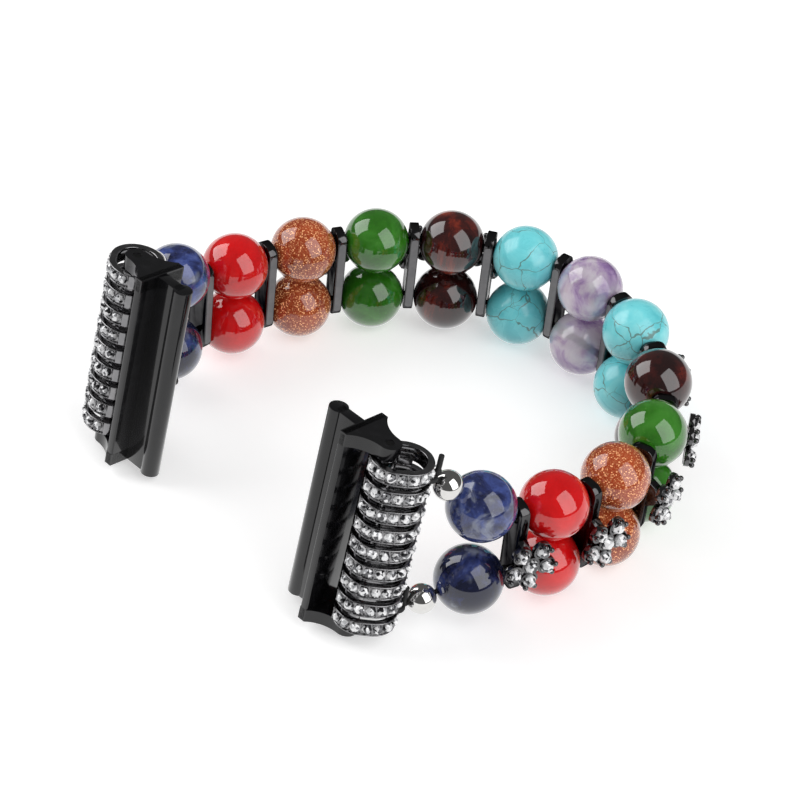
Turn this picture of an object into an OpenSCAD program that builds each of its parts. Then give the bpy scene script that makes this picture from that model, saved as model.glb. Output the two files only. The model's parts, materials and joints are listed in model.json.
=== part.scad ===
// Two-row elastic bracelet band of stone beads for a watch, lying on its side as an open loop.
// The band's width runs along Z. Column 7, the amethyst one, lies furthest from the watch.
// Columns and spacers are numbered from the back end of the loop, clockwise seen from above.

/* [Beads] */
// Diameter of the stone beads
bead_d = 10; // [8:0.5:12]
// Diameter of the bore through each bead
bead_bore_d = 1.7; // [1.5:0.1:2.5]
// Clear space between the upper and the lower row
row_gap = 0.7; // [0.4:0.1:2]
// Diameter of the metal balls at the ends of the rows
ball_d = 4.4; // [4:0.2:6]
// Diameter of the bore through each ball
ball_bore_d = 1.3; // [1.1:0.1:1.8]

/* [Spacers] */
// Thickness of a spacer bar, along the cord
spacer_t = 1.4; // [1:0.1:2]
// Depth of a spacer bar, from the wrist side outward
spacer_depth = 4; // [3:0.2:5]
// Metal of a spacer bar beyond each cord hole
spacer_end = 1.3; // [1.1:0.1:2.5]
// Diameter of the cord holes in a spacer bar
spacer_hole_d = 2.1; // [1.7:0.1:2.2]
// Free space between a bead and the bar beside it, at the sharpest bend
bar_gap = 0.05; // [0.03:0.01:0.2]

/* [Flower charms] */
// Number of petals round each charm
petals = 5; // [4:1:6]
// Diameter of a charm stone
charm_stone_d = 2; // [1.6:0.1:2.1]
// Distance of the petal stones from the middle stone
petal_ring_r = 2.7; // [2.6:0.05:2.9]
// Metal rim round each charm stone
petal_rim = 0.4; // [0.2:0.05:0.6]
// Thickness of the charm's plate
charm_plate_t = 0.8; // [0.6:0.1:1.2]
// Distance from the bar to the back of the charm's plate
charm_stem = 2.1; // [1.8:0.1:3]
// Height of a charm stone above its seat
charm_stone_h = 0.9; // [0.6:0.1:1.2]
// Diameter of a prong tip
prong_d = 0.55; // [0.4:0.05:0.7]

/* [Cages] */
// Number of ribs in each cage
ribs = 9; // [9:2:11]
// Distance from one rib to the next
rib_pitch = 3.2; // [3.1:0.1:3.4]
// Height of one rib
rib_h = 2.2; // [2:0.05:2.2]
// Length of a rib's oval, from the pin to the cord
cage_len = 9; // [8.6:0.2:10]
// Depth of a rib's oval
cage_depth = 7.8; // [7:0.2:8.4]
// Wall of a rib
rib_wall = 1; // [0.9:0.1:1.4]
// Depth of the groove in which a rib's stones sit
groove_depth = 0.3; // [0.2:0.05:0.4]
// Lip above and below that groove
groove_lip = 0.2; // [0.1:0.05:0.25]
// Stones on each rib
rib_stones = 7; // [5:2:7]
// Diameter of a cage stone
cage_stone_d = 1.5; // [1.2:0.05:1.5]
// Distance from one cage stone to the next along the rib
cage_stone_pitch = 1.6; // [1.55:0.05:1.7]
// Height of a cage stone
cage_stone_h = 0.6; // [0.4:0.05:0.8]
// Width and thickness of the post that the cords loop round
cord_post = 0.8; // [0.7:0.1:1]
// Width of the webs that close every other gap on the wrist side
web_w = 4.4; // [3:0.2:5]

/* [Adaptors] */
// Metal of an adaptor's ear, along the pin
ear_t = 2; // [1.6:0.1:2.6]
// Free space between a cage's end and an ear
ear_gap = 0.15; // [0.1:0.05:0.4]
// Radius of an ear round the pin
ear_r = 1.7; // [1.6:0.1:2]
// Distance from the pin to the face that meets the watch case
pin_to_case = 5.5; // [5.3:0.1:7]
// Thickness of the wall between the two ears
neck_t = 1.2; // [1:0.1:1.4]
// Depth of the adaptor across that wall
neck_depth = 8; // [7:0.2:9]
// Length of the tongue that slides into the case
tongue_len = 4.2; // [3.6:0.2:5]
// Thickness of the tongue's root
tongue_t = 1.8; // [1.6:0.1:2.2]
// Diameter of the round bead along the tongue's edge
tongue_bulb_d = 2.8; // [2.6:0.1:3.2]
// Diameter of the latch button
latch_d = 1.6; // [1.2:0.1:1.8]
// How far the latch button stands out of the tongue
latch_out = 0.5; // [0.4:0.05:0.7]

/* [Pins and cords] */
// Diameter of the hinge pins
pin_d = 1.3; // [1:0.05:1.5]
// Radial clearance of a pin in the cage's knuckle
pin_clear = 0.06; // [0.03:0.01:0.09]
// Radial clearance of a pin in an ear
pin_seat_clear = 0.02; // [0.01:0.01:0.04]
// Wall of the knuckle round the pin
knuckle_wall = 0.75; // [0.6:0.05:1]
// Diameter of the elastic cords
cord_d = 0.8; // [0.6:0.05:0.9]
// Length of the tail beyond the knot
cord_tail = 2.2; // [1:0.1:3]
// Diameter of the knot
knot_d = 1.2; // [1:0.1:1.3]

/* [Pose of the loop] */
// Heading of the furthest column
root_heading = -41; // [-60:1:-20]
// Sharpest bend that a spacer allows before the beads meet its bar
bend_limit = 26; // [25:1:30]
// Height to which the two end spacers are lifted off the table
end_lift = 1.2; // [0:0.1:2]
// Height of the cages' middle above the row's middle
cage_lift = 6; // [5:0.1:7]
// Lean of both ends toward the wrist side
end_lean = 9; // [0:1:12]
// Heading of the watch's long axis, from the back end to the front end
watch_heading = -41; // [-50:1:-30]
// Angle between a cage and its adaptor at rest
cage_fold = 49; // [40:1:70]

/* [Hidden] */
columns = 13;
spacers = columns - 1;
mid_column = (columns + 1) / 2;
// Bend at each spacer in degrees, from spacer 1 to spacer 12
bends = [14, 11, 13, 16, 18, 23, 23, 18, 23, 24, 16, 8];
// Centre of the furthest column, chosen so that the origin is under the middle of the whole band
root_x = 28.1;
root_y = 26.83;
// Clearance between faces of two pieces that only lie beside each other
seat_gap = 0.05;
eps = 0.01;
// Extra length of a cutter beyond the face that it cuts
cut = 1;
// Facets of small, middle and large round shapes
fn_small = 16;
fn_mid = 32;
fn_large = 64;
// Angle of a charm's two prongs from the petal's own direction
prong_angle = 38;
// Shares of a cut stone: its girdle's height, and its table's width
girdle_share = 0.4;
table_share = 0.55;
// Width of the charm's web at the bar
web_root = 4.6;
// Thickness of a cage's webs
cage_web_t = 0.7;
// Metal left under the latch button's blind hole
latch_floor = 0.5;
// Width of the latch button's rounded tip, as a share of the button
latch_tip_share = 0.6;

bead_colors = [
    "midnightblue", "firebrick", "chocolate", "darkgreen", "maroon", "darkturquoise", "plum",
    "darkturquoise", "maroon", "darkgreen", "chocolate", "firebrick", "midnightblue"
];
gunmetal = "dimgray";

row_pitch = bead_d + row_gap;
row_z = bead_d / 2 + row_pitch / 2;
column_pitch = (bead_d + spacer_t + 2 * bar_gap) / cos(bend_limit / 2);
bar_h = row_pitch + spacer_hole_d + 2 * spacer_end;
cage_h = (ribs - 1) * rib_pitch + rib_h;
// Height of the cord loops above and below a cage's middle: the gap next to each end rib
loop_z = (ribs - 2) * rib_pitch / 2;
// Post round which the cords loop, measured from the middle of the oval
post_x = cage_len / 2 - rib_wall / 2;
knuckle_r = pin_d / 2 + pin_clear + knuckle_wall;
pin_x = -(cage_len / 2 - rib_wall + seat_gap - knuckle_r);
// The knuckle's round wall meets the oval's end from inside
pin_to_post = post_x - pin_x;
loop_r = cord_post * sqrt(2) / 2 + cord_d / 2 + seat_gap;
loop_reach = loop_r + cord_d / 2;
adaptor_h = cage_h + 2 * (ear_gap + ear_t);

// Places along an end strand, from the end spacer to the cage: bead, ball and cord post.
// The ball lies on the straight line to the post. The end bead stands off its bar, because the
// upper strand leaves steeply, and hangs inside that line, so that the two rows' beads stay close.
strand_gap = 0.1;
end_clear = 0.9;
bead_sag = 1;
end_bead_at = bead_d / 2 + spacer_t / 2 + end_clear;
bead_to_ball = bead_d / 2 + strand_gap + ball_d / 2;
ball_to_post = ball_d / 2 + 3 * strand_gap + loop_reach;
end_reach = sqrt(end_bead_at ^ 2 - bead_sag ^ 2) + sqrt(bead_to_ball ^ 2 - bead_sag ^ 2) + ball_to_post;
// Largest angle at rest between a strand and its cage's long side
strand_turn = 30;
// The lower row's knots are pulled tighter
lower_knot_share = 0.75;
knot_sink = 0.3;
function knot_size(side) = side > 0 ? knot_d : knot_d * lower_knot_share;
// Knot's distance from the post, clear of the ribs, and its height above the loop
function knot_at(side) = (rib_wall / 2 + seat_gap + knot_size(side) / 2) / cos(strand_turn);
function knot_rise(side) = (cord_d + knot_size(side)) / 2 - knot_sink;

function total(v, from, to) = from > to ? 0 : v[from] + total(v, from + 1, to);
function unit2(a) = [cos(a), sin(a), 0];

// Heading of column c: bends turn the loop clockwise, away from the furthest column
function column_heading(c) = c >= mid_column
    ? root_heading - total(bends, mid_column - 1, c - 2)
    : root_heading + total(bends, c - 1, mid_column - 2);

// Lift of spacer s: the ends of the band rise toward the cages
function spacer_lift(s) =
    let (from_end = min(s - 1, spacers - s))
    from_end == 0 ? end_lift : from_end == 1 ? end_lift / 4 : 0;

function step_length(s) = sqrt(column_pitch ^ 2 - (spacer_lift(s) - spacer_lift(s + 1)) ^ 2);

// Plan position of spacer s, walked outward from the furthest column
function spacer_plan(s) =
    s == mid_column ? [root_x, root_y, 0] + column_pitch / 2 * unit2(root_heading)
    : s == mid_column - 1 ? [root_x, root_y, 0] - column_pitch / 2 * unit2(root_heading)
    : s > mid_column ? spacer_plan(s - 1) + step_length(s - 1) * unit2(column_heading(s))
    : spacer_plan(s + 1) - step_length(s) * unit2(column_heading(s + 1));

function spacer_pos(s) = spacer_plan(s) + [0, 0, row_z + spacer_lift(s)];
function spacer_heading(s) = (column_heading(s) + column_heading(s + 1)) / 2;
// Cord hole of spacer s, with side 1 for the upper row and -1 for the lower row
function hole_pos(s, side) = spacer_pos(s) + [0, 0, side * row_pitch / 2];

// Direction of a cage's long side in both ends' own frames, which lean together
function end_spacer(end) = end > 0 ? spacers : 1;
function end_heading(end) = end > 0 ? column_heading(columns) : column_heading(1) + 180;
function lean_up() = [
    -sin(end_lean) * sin(watch_heading), sin(end_lean) * cos(watch_heading), cos(end_lean)
];
// Run in plan from the end spacer to the post, long enough for both rows' beads and balls
function row_run(end, side) =
    let (
        rise = cage_lift + side * (loop_z * cos(end_lean) - row_pitch / 2) - end_lift,
        shift = side * loop_z * (lean_up() * unit2(end_heading(end)))
    )
    sqrt(end_reach ^ 2 - rise ^ 2) - shift;
function end_run(end) = max(row_run(end, 1), row_run(end, -1));
function post_pos(end) =
    spacer_plan(end_spacer(end)) + end_run(end) * unit2(end_heading(end)) + [0, 0, row_z + cage_lift];
function loop_pos(end, side) = post_pos(end) + side * loop_z * lean_up();

function unit(v) = v / norm(v);
function toward(a, b, d) = a + d * unit(b - a);
function ball_pos(end, side) = toward(loop_pos(end, side), hole_pos(end_spacer(end), side), ball_to_post);
// End bead: off the line from its hole to its ball, toward the other row
function end_bead_pos(end, side) =
    let (
        hole = hole_pos(end_spacer(end), side),
        dir = unit(ball_pos(end, side) - hole),
        inward = unit([0, 0, -side] + side * dir[2] * dir)
    )
    hole + sqrt(end_bead_at ^ 2 - bead_sag ^ 2) * dir + bead_sag * inward;
// Bore of an end bead and its ball, between the line to the ball and the straight strand
function end_axis(end, side) =
    let (ball = ball_pos(end, side))
    unit(unit(ball - end_bead_pos(end, side)) + unit(ball - hole_pos(end_spacer(end), side)));

// Centre of the bead in column c, and the direction of its bore
function bead_pos(c, side) =
    c == 1 ? end_bead_pos(-1, side) : c == columns ? end_bead_pos(1, side)
    : (hole_pos(c - 1, side) + hole_pos(c, side)) / 2;
function bead_axis(c, side) =
    c == 1 ? -end_axis(-1, side) : c == columns ? end_axis(1, side)
    : hole_pos(c, side) - hole_pos(c - 1, side);

// Puts its children at a point, with X along a direction
module along(at, dir) {
    translate(at) rotate([0, 0, atan2(dir[1], dir[0])]) rotate([0, -asin(dir[2] / norm(dir)), 0])
        children();
}

// A ball with a bore along X, turned from half of its own section
module bored_ball(d, bore_d) {
    rotate([0, 90, 0]) rotate_extrude($fn = fn_large) intersection() {
        circle(d = d, $fn = fn_large);
        translate([bore_d / 2, -d / 2]) square([d / 2, d]);
    }
}

// One stone bead
module stone_bead(c, side) {
    color(bead_colors[c - 1])
        along(bead_pos(c, side), bead_axis(c, side)) bored_ball(bead_d, bead_bore_d);
}

// One chrome ball
module end_ball(end, side) {
    color("silver")
        along(ball_pos(end, side), end_axis(end, side)) bored_ball(ball_d, ball_bore_d);
}

// Bar of a spacer: thickness along X, depth along Y, holes on the cord line
module spacer_bar() {
    chamfer = spacer_end / 2;
    difference() {
        translate([-spacer_t / 2, 0, 0]) rotate([90, 0, 90]) linear_extrude(spacer_t) polygon([
            [-spacer_depth / 2, -bar_h / 2 + chamfer], [-spacer_depth / 2 + chamfer, -bar_h / 2],
            [spacer_depth / 2 - chamfer, -bar_h / 2], [spacer_depth / 2, -bar_h / 2 + chamfer],
            [spacer_depth / 2, bar_h / 2 - chamfer], [spacer_depth / 2 - chamfer, bar_h / 2],
            [-spacer_depth / 2 + chamfer, bar_h / 2], [-spacer_depth / 2, bar_h / 2 - chamfer]
        ]);
        for (side = [-1, 1]) translate([0, 0, side * row_pitch / 2]) rotate([0, 90, 0])
            cylinder(d = spacer_hole_d, h = spacer_t + cut, center = true, $fn = fn_mid);
    }
}

// Middle of each petal in the charm's own plane
function petal_angle(k) = 90 + k * 360 / petals;

// Flower charm, facing outward along Z of its own frame, with its seats bored
module charm_casting() {
    cup_r = charm_stone_d / 2 + petal_rim;
    difference() {
        union() {
            cylinder(r = cup_r, h = charm_plate_t, $fn = fn_mid);
            for (k = [0:petals - 1]) rotate([0, 0, petal_angle(k)]) {
                translate([petal_ring_r, 0, 0]) cylinder(r = cup_r, h = charm_plate_t, $fn = fn_mid);
                for (a = [-prong_angle, prong_angle]) translate([petal_ring_r, 0, 0]) rotate([0, 0, a])
                    translate([charm_stone_d / 2 + petal_rim / 2, 0, 0])
                        cylinder(d = prong_d, h = charm_plate_t + charm_stone_h / 2, $fn = fn_small);
            }
        }
        for (k = [0:petals]) rotate([0, 0, petal_angle(k)])
            translate([k == petals ? 0 : petal_ring_r, 0, charm_plate_t / 2])
                cylinder(
                    d = charm_stone_d + 2 * seat_gap, h = charm_plate_t + charm_stone_h, $fn = fn_mid
                );
    }
}

// A cut stone: a girdle below and a flat-topped crown above
module cut_stone(d, h) {
    girdle = h * girdle_share;
    cylinder(d = d, h = girdle, $fn = fn_small);
    translate([0, 0, girdle - eps])
        cylinder(d1 = d, d2 = d * table_share, h = h - girdle + eps, $fn = fn_small);
}

// Puts its children on the charm's plate, which faces outward along Y of the spacer
module on_charm() {
    translate([0, spacer_depth / 2 + charm_stem, 0]) rotate([-90, 0, 0]) children();
}

// Web that carries the charm, flush with the bar's two faces
module charm_web() {
    tip = charm_stone_d;
    depth = charm_stem + 2 * eps;
    translate([-spacer_t / 2, spacer_depth / 2 - eps, 0]) rotate([90, 0, 90]) linear_extrude(spacer_t)
        polygon([[0, -web_root / 2], [depth, -tip / 2], [depth, tip / 2], [0, web_root / 2]]);
}

// One spacer casting with its six stones
module spacer(s) {
    translate(spacer_pos(s)) rotate([0, 0, spacer_heading(s)]) {
        color(gunmetal) {
            spacer_bar();
            charm_web();
            on_charm() charm_casting();
        }
        color("white") on_charm() for (k = [0:petals]) rotate([0, 0, petal_angle(k)])
            translate([k == petals ? 0 : petal_ring_r, 0, charm_plate_t / 2 + eps])
                cut_stone(charm_stone_d, charm_plate_t / 2 + charm_stone_h);
    }
}

// Frame of one end: X away from the watch, Z along the pin, origin on the cord post
module end_frame(end) {
    translate(post_pos(end)) rotate([0, 0, watch_heading]) rotate([-end_lean, 0, 0])
        rotate([0, end > 0 ? 0 : 180, 0]) children();
}

// Frame of one cage: X from the pin to the cord, origin in the middle of the oval
module cage_frame(end) {
    end_frame(end) rotate([0, 0, cage_fold]) translate([-post_x, 0, 0]) children();
}

// Frame of one adaptor: origin on the pin, X away from the watch
module adaptor_frame(end) {
    cage_frame(end) translate([pin_x, 0, 0]) rotate([0, 0, -cage_fold]) children();
}

// A plate with the cage's oval outline, drawn in from it by the inset
module oval_plate(h, inset) {
    r = cage_depth / 2 - inset;
    flat = cage_len - cage_depth;
    linear_extrude(h, center = true) {
        square([flat, 2 * r], center = true);
        for (x = [-flat / 2, flat / 2]) translate([x, 0]) circle(r = r, $fn = fn_large);
    }
}

// One rib: an oval ring with a groove along its outward half, which faces -Y
module rib() {
    groove_h = rib_h - 2 * groove_lip;
    difference() {
        oval_plate(rib_h, 0);
        oval_plate(rib_h + cut, rib_wall);
        difference() {
            translate([0, -cage_depth / 2, 0])
                cube([cage_len + cut, cage_depth, groove_h], center = true);
            oval_plate(groove_h + cut, groove_depth);
        }
    }
}

// Height of rib k in the stack
function rib_z(k) = (k - (ribs - 1) / 2) * rib_pitch;

// One cage: ribs joined by the cord post, the pin's knuckle and the wrist-side webs
module cage(end) {
    web_y = cage_depth / 2 - rib_wall + cage_web_t / 2;
    color(gunmetal) cage_frame(end) difference() {
        union() {
            for (k = [0:ribs - 1]) translate([0, 0, rib_z(k)]) rib();
            translate([post_x, 0, 0]) cube([cord_post, cord_post, cage_h - rib_h], center = true);
            translate([pin_x, 0, 0]) cylinder(r = knuckle_r, h = cage_h, center = true, $fn = fn_large);
            for (k = [1:2:ribs - 2]) translate([0, web_y, rib_z(k) + rib_pitch / 2])
                cube([web_w, cage_web_t, rib_pitch], center = true);
        }
        translate([pin_x, 0, 0])
            cylinder(r = pin_d / 2 + pin_clear, h = cage_h + cut, center = true, $fn = fn_mid);
    }
}

// Turns and moves to stone k of a rib, at arc length k * pitch from the middle of the outward half
module at_rib_stone(k) {
    r = cage_depth / 2 - groove_depth;
    flat = cage_len - cage_depth;
    arc = (k - (rib_stones - 1) / 2) * cage_stone_pitch;
    past = max(0, abs(arc) - flat / 2);
    side = sign(arc);
    turn = past / r * 180 / PI;
    along_flat = min(abs(arc), flat / 2);
    translate([side * along_flat, 0, 0]) rotate([0, 0, side * turn]) translate([0, -r, 0])
        rotate([90, 0, 0]) children();
}

// All the stones of one cage
module cage_stones(end) {
    color("white") cage_frame(end)
        for (k = [0:ribs - 1], j = [0:rib_stones - 1]) translate([0, 0, rib_z(k)])
            at_rib_stone(j) cut_stone(cage_stone_d, cage_stone_h);
}

// Latch button's place: the middle of the round bead on the tongue's edge, facing the wrist
latch_x = -pin_to_case - tongue_len;
latch_depth = tongue_bulb_d - latch_floor;

// One adaptor: two ears round the pin, a wall between them and the tongue behind it
module adaptor(end) {
    ear_z = cage_h / 2 + ear_gap + ear_t / 2;
    neck_x = -pin_to_case + neck_t / 2;
    // Each ear widens toward the case along two hollow curves
    flare_x = pin_to_case - neck_t;
    flare_y = neck_depth / 2 - ear_r;
    flare_r = (flare_x ^ 2 + flare_y ^ 2) / (2 * flare_y);
    color([0.06, 0.06, 0.07]) adaptor_frame(end) difference() {
        union() {
            for (z = [-ear_z, ear_z]) translate([0, 0, z]) {
                cylinder(r = ear_r, h = ear_t, center = true, $fn = fn_large);
                difference() {
                    translate([-pin_to_case / 2, 0, 0])
                        cube([pin_to_case, neck_depth, ear_t], center = true);
                    for (y = [-1, 1]) translate([0, y * (ear_r + flare_r), 0])
                        cylinder(r = flare_r, h = ear_t + cut, center = true, $fn = fn_large);
                }
            }
            translate([neck_x, 0, 0]) cube([neck_t, neck_depth, adaptor_h], center = true);
            translate([-pin_to_case - tongue_len / 2, 0, 0])
                cube([tongue_len + eps, tongue_t, adaptor_h - 2 * ear_gap], center = true);
            translate([-pin_to_case - tongue_len, 0, 0])
                cylinder(d = tongue_bulb_d, h = adaptor_h - 2 * ear_gap, center = true, $fn = fn_large);
        }
        cylinder(r = pin_d / 2 + pin_seat_clear, h = adaptor_h + cut, center = true, $fn = fn_mid);
        translate([latch_x, tongue_bulb_d / 2 - latch_depth, 0]) rotate([-90, 0, 0])
            cylinder(d = latch_d + 2 * seat_gap, h = latch_depth + cut, $fn = fn_mid);
    }
}

// Round latch button in its blind hole, with room below it to be pressed flush
module latch(end) {
    below = latch_out + seat_gap;
    straight = latch_depth - below + latch_out / 2;
    color("silver") adaptor_frame(end)
        translate([latch_x, tongue_bulb_d / 2 - latch_depth + below, 0]) rotate([-90, 0, 0]) {
            cylinder(d = latch_d, h = straight, $fn = fn_mid);
            translate([0, 0, straight - eps]) cylinder(
                d1 = latch_d, d2 = latch_d * latch_tip_share, h = latch_out / 2 + eps, $fn = fn_mid
            );
        }
}

// Hinge pin, flush with the ears' outer faces
module pin(end) {
    color("silver") adaptor_frame(end)
        cylinder(d = pin_d, h = adaptor_h - 2 * seat_gap, center = true, $fn = fn_mid);
}

// Rings of a round cord swept along a route that stays nearly level
cord_sides = 8;
function route_dir(route, i) =
    unit((i > 0 ? unit(route[i] - route[i - 1]) : [0, 0, 0])
        + (i < len(route) - 1 ? unit(route[i + 1] - route[i]) : [0, 0, 0]));
function cord_ring(at, dir) =
    let (across = unit(cross(dir, [0, 0, 1])), up = cross(across, dir))
    [for (k = [0:cord_sides - 1]) let (a = k * 360 / cord_sides)
        at + cord_d / 2 * (cos(a) * across + sin(a) * up)];

// A cord along a route: one tube with two flat ends
module cord_tube(route) {
    n = cord_sides;
    last = (len(route) - 1) * n;
    polyhedron(
        points = [for (i = [0:len(route) - 1]) each cord_ring(route[i], route_dir(route, i))],
        faces = concat(
            [[for (k = [n - 1:-1:0]) k]],
            [[for (k = [0:n - 1]) last + k]],
            [for (i = [0:len(route) - 2], k = [0:n - 1]) let (a = i * n + k, b = i * n + (k + 1) % n)
                each [[a, b + n, a + n], [a, b, b + n]]]
        )
    );
}

// Loop of cord round the post, lying in the gap between two ribs
module cord_loop(end, side) {
    end_frame(end) translate([0, 0, (end > 0 ? 1 : -1) * side * loop_z])
        rotate_extrude($fn = 12) translate([loop_r, 0]) circle(d = cord_d, $fn = cord_sides);
}

// Knot where the loop closes, outside the cage and on top of the loop
function knot_pos(end, side) =
    let (
        strand = hole_pos(end_spacer(end), side) - loop_pos(end, side),
        level = strand - (strand * lean_up()) * lean_up()
    )
    loop_pos(end, side) + knot_at(side) * unit(level) + knot_rise(side) * lean_up();

// The cord's tail, which stands up beside the front cage
module tail(side) {
    translate(knot_pos(1, side)) rotate([0, 0, watch_heading]) rotate([-end_lean, 0, 0])
        cylinder(d = cord_d, h = knot_size(side) / 2 + cord_tail, $fn = cord_sides);
}

// Route of an end strand, from the end bead's inner side to the loop
function end_route(end, side) =
    let (
        bead = end_bead_pos(end, side),
        ball = ball_pos(end, side),
        axis = end_axis(end, side)
    )
    [
        bead - bead_d / 2 * axis,
        (bead + bead_d / 2 * axis + ball - ball_d / 2 * axis) / 2,
        ball + ball_d / 2 * axis,
        toward(loop_pos(end, side), ball, loop_r)
    ];

// One row's elastic cord: from the back post through every bead and spacer to the front post
module cord(side) {
    back = end_route(-1, side);
    route = concat(
        [for (i = [len(back) - 1:-1:0]) back[i]],
        [for (s = [1:spacers]) hole_pos(s, side)],
        end_route(1, side)
    );
    color([0.05, 0.05, 0.05]) {
        cord_tube(route);
        for (end = [-1, 1]) {
            cord_loop(end, side);
            translate(knot_pos(end, side)) sphere(d = knot_size(side), $fn = 10);
        }
        tail(side);
    }
}

for (c = [1:columns]) stone_bead(c, 1);
for (c = [1:columns]) stone_bead(c, -1);
for (s = [1:spacers]) spacer(s);
end_ball(-1, 1);  // upper_ball_back
end_ball(-1, -1);  // lower_ball_back
end_ball(1, 1);  // upper_ball_front
end_ball(1, -1);  // lower_ball_front
cage(-1);  // back_cage
cage(1);  // front_cage
cage_stones(-1);  // back_cage_stones
cage_stones(1);  // front_cage_stones
adaptor(-1);  // back_adaptor
adaptor(1);  // front_adaptor
pin(-1);  // back_pin
pin(1);  // front_pin
latch(-1);  // back_latch
latch(1);  // front_latch
cord(1);  // upper_cord
cord(-1);  // lower_cord
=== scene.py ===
import json
import math

import bpy
from mathutils import Matrix, Vector


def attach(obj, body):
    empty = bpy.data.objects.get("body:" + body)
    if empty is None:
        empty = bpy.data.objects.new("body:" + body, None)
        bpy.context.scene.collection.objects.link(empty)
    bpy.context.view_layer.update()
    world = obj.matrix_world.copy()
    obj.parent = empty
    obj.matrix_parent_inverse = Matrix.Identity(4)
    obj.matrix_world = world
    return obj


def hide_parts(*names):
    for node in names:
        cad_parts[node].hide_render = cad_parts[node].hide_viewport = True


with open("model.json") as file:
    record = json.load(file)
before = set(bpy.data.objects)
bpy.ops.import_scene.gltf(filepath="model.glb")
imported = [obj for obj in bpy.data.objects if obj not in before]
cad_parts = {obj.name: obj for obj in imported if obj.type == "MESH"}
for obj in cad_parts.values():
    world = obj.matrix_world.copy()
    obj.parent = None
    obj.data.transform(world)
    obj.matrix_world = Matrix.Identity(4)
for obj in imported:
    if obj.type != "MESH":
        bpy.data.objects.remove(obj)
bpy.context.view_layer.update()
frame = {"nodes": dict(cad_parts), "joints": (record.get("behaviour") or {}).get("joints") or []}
joints = {joint["name"]: joint for joint in frame["joints"]}

MM = 0.001
COLUMNS = 13
SPACERS = 12
MIDDLE = 7

# Sizes shared with the solids
BEAD_R = 5 * MM
BEAD_BORE_R = 0.85 * MM
BALL_R = 2.2 * MM
BALL_BORE_R = 0.65 * MM
ROW_PITCH = 10.7 * MM
BAR_T = 1.4 * MM
BAR_DEPTH = 4 * MM
BAR_HEIGHT = 15.4 * MM
BAR_ROUND = 1.5 * MM
HOLE_R = 1.05 * MM
PETALS = 5
PETAL_RING = 2.7 * MM
CHARM_STONE_R = 1 * MM
PETAL_RIM = 0.4 * MM
CHARM_T = 0.8 * MM
CHARM_STEM = 2.1 * MM
CHARM_STONE_H = 0.9 * MM
CHARM_WEB_ROOT = 4.6 * MM
CHARM_WEB_TIP = 2 * MM
CLAW_ANGLE = 38
CLAW_R = 0.2 * MM
CLAW_TIP_R = 0.42 * MM
RIBS = 9
RIB_PITCH = 3.2 * MM
RIB_H = 2.2 * MM
RIB_WALL = 1 * MM
CAGE_LEN = 9 * MM
CAGE_DEPTH = 7.8 * MM
GROOVE_DEPTH = 0.3 * MM
GROOVE_LIP = 0.2 * MM
GRAIN_R = 0.18 * MM
RIB_STONES = 7
CAGE_STONE_R = 0.75 * MM
CAGE_STONE_PITCH = 1.6 * MM
CAGE_STONE_H = 0.6 * MM
POST = 0.8 * MM
POST_X = 4 * MM
PIN_X = -2.09 * MM
KNUCKLE_R = 1.46 * MM
KNUCKLE_BORE_R = 0.71 * MM
CAGE_WEB_W = 4.4 * MM
CAGE_WEB_T = 0.7 * MM
CORD_R = 0.4 * MM
LOOP_R = 1.016 * MM
LOOP_Z = 11.2 * MM
KNOT_AT = {1: 1.328 * MM, -1: 1.155 * MM}
KNOT_RISE = {1: 0.7 * MM, -1: 0.55 * MM}
KNOT_SIZE = {1: 1.0, -1: 0.75}
KNOT_R = 0.6 * MM
TAIL = 2.2 * MM
PIN_R = 0.65 * MM
EAR_R = 1.7 * MM
EAR_T = 2 * MM
EAR_Z = 15.05 * MM
PIN_TO_SEAT = 5.5 * MM
NECK_T = 1.2 * MM
NECK_DEPTH = 8 * MM
ADAPTOR_HEIGHT = 32.1 * MM
TONGUE_LEN = 4.2 * MM
TONGUE_T = 1.8 * MM
TONGUE_BULB_R = 1.4 * MM
TONGUE_HEIGHT = 31.8 * MM
LATCH_BORE_R = 0.85 * MM
LATCH_DEPTH = 2.3 * MM

# Shares of a stone's height and radius that its girdle, crown and flat top take
GIRDLE = 0.3
CROWN = 0.7
FLAT_TOP = 0.58

# Angles in degrees, as in the solids
ROOT_HEADING = -41
BENDS = [14, 11, 13, 16, 18, 23, 23, 18, 23, 24, 16, 8]
END_HEADING = -41
END_LEAN = 9
CAGE_FOLD = 49

STONES = [
    "sodalite", "red_jade", "goldstone", "green_jade", "tiger_eye", "turquoise", "amethyst",
    "turquoise", "tiger_eye", "green_jade", "goldstone", "red_jade", "sodalite",
]
STONE_SLOTS = {
    "sodalite": "blue_stone", "red_jade": "red_stone", "goldstone": "goldstone",
    "green_jade": "green_stone", "tiger_eye": "tiger_eye", "turquoise": "turquoise",
    "amethyst": "amethyst",
}


# Camera, lamps and the white table

VIEW_TARGET = Vector((1.3, 8.53, 5.0)) * MM
VIEW_TILT = math.radians(40.61)
VIEW_ROLL = math.radians(6.42)
VIEW_DISTANCE = 0.43
to_camera = Vector((0, -math.cos(VIEW_TILT), math.sin(VIEW_TILT)))
level = Vector((1, 0, 0))
upward = Vector((0, math.sin(VIEW_TILT), math.cos(VIEW_TILT)))
view_right = level * math.cos(VIEW_ROLL) + upward * math.sin(VIEW_ROLL)
view_up = upward * math.cos(VIEW_ROLL) - level * math.sin(VIEW_ROLL)


def look(data, name, place, right, up, back):
    """An object that looks along -back with its own right and up directions."""
    made = bpy.data.objects.new(name, data)
    bpy.context.scene.collection.objects.link(made)
    made.matrix_world = Matrix.Translation(place) @ Matrix((right, up, back)).transposed().to_4x4()
    return made


lens = bpy.data.cameras.new("camera")
lens.sensor_width = 36
lens.lens = 129.6
lens.clip_start = 0.02
lens.clip_end = 50
bpy.context.scene.camera = look(
    lens, "camera", VIEW_TARGET + VIEW_DISTANCE * to_camera, view_right, view_up, to_camera
)


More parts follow.
